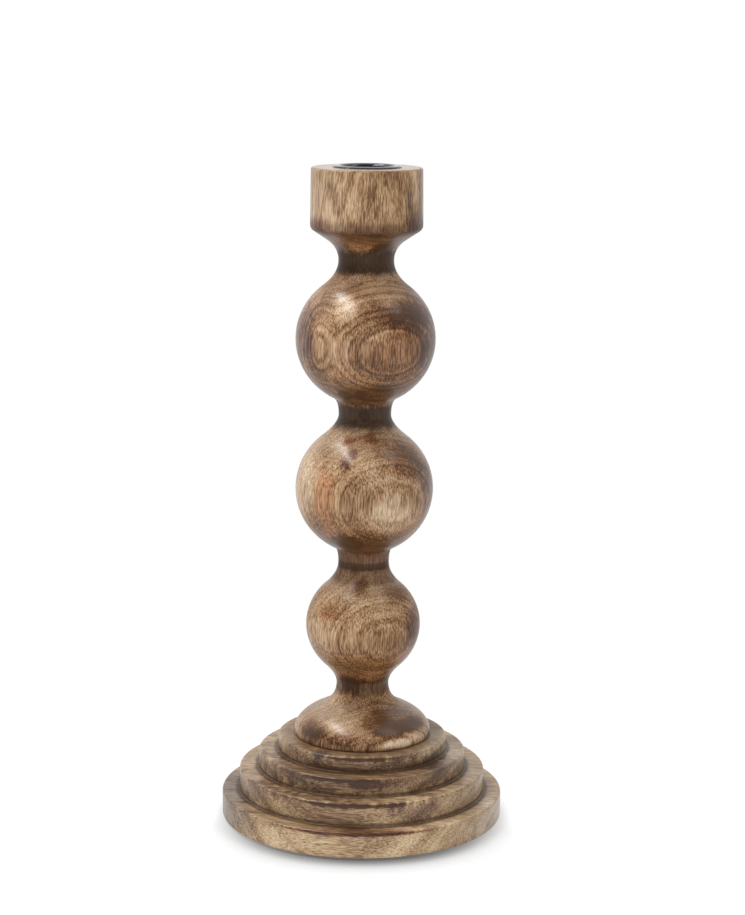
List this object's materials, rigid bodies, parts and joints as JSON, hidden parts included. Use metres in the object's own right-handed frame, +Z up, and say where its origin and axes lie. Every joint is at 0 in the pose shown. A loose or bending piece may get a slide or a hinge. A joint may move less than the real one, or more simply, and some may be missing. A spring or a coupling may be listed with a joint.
{
  "type": "candlestick",
  "caption": "Turned wooden candlestick: a bead stem on a stepped round base, with a lift-out black metal cup for one taper candle.",
  "frame": {"origin": "on the ground under the middle of the base", "axes": "+Z up along the turned axis, +X to the right and +Y away from the viewer of the picture"},
  "size_m": [0.13, 0.13, 0.3019],
  "materials": {
    "black_iron": "satin black lacquer on drawn sheet iron",
    "stem_wood": "semi-gloss clear lacquer over brown hardwood with upright grain",
    "base_wood": "semi-gloss clear lacquer over brown hardwood with level grain",
    "zinc_steel": "bright zinc plate",
    "felt": "brown wool felt"
  },
  "bodies": {
    "stand": {"stem": "stem_wood", "base": "base_wood", "stem_screw": "zinc_steel", "screw_washer": "zinc_steel", "felt_pad_1": "felt", "felt_pad_2": "felt", "felt_pad_3": "felt", "felt_pad_4": "felt"},
    "cup": {"candle_cup": "black_iron"}
  },
  "joints": [
    {"name": "cup_lift", "type": "slide", "parent": "stand", "child": "cup", "axis": [0, 0, 1], "range_m": [0, 0.035]}
  ]
}
